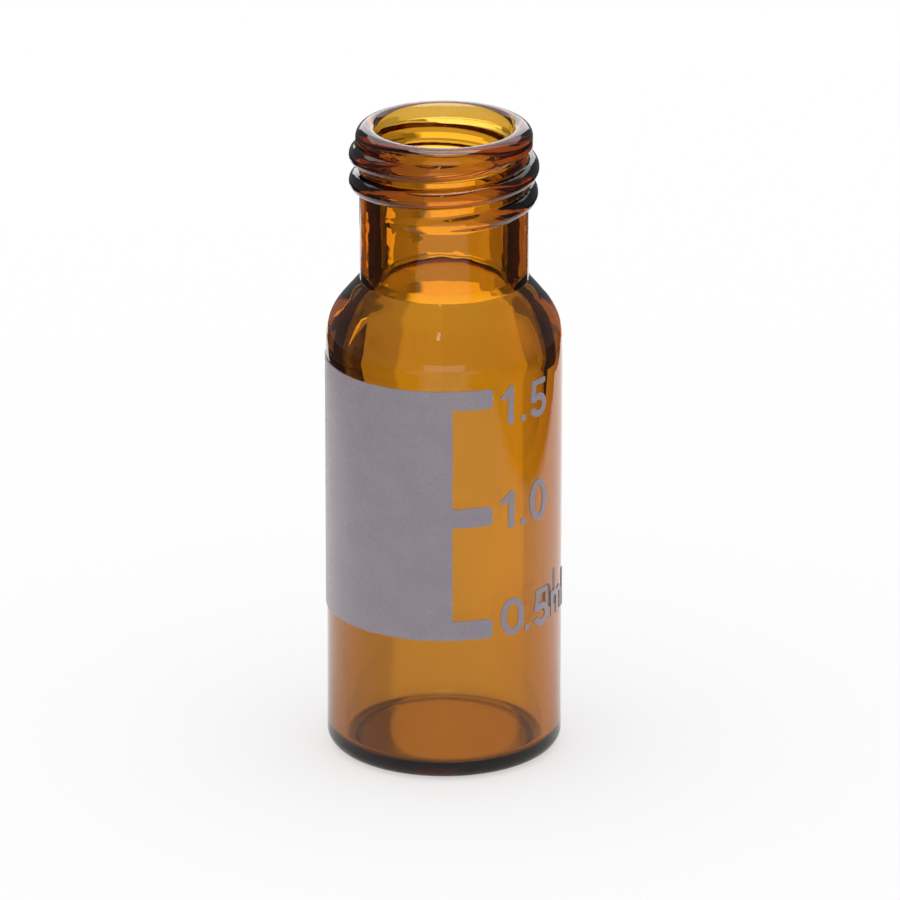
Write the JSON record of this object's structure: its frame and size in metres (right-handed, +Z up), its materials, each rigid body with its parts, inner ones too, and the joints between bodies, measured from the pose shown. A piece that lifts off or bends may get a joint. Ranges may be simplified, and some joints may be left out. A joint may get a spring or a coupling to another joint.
{
  "type": "glass sample vial",
  "caption": "Small amber glass sample vial with a screw-thread neck, a rounded shoulder and an enamel writing patch with volume marks on its side.",
  "frame": {"origin": "centre of the flat ring that the vial rests on, on the vial's axis", "axes": "+Z up the vial's axis and out of the mouth; -Y towards the edge of the writing patch that carries the volume marks"},
  "size_m": [0.0116, 0.0116, 0.032],
  "materials": {
    "amber_glass": "clear amber glass, fire-polished",
    "grey_enamel": "matt fired enamel"
  },
  "bodies": {
    "root": {"vial_body": "amber_glass", "writing_patch": "grey_enamel"}
  },
  "joints": []
}
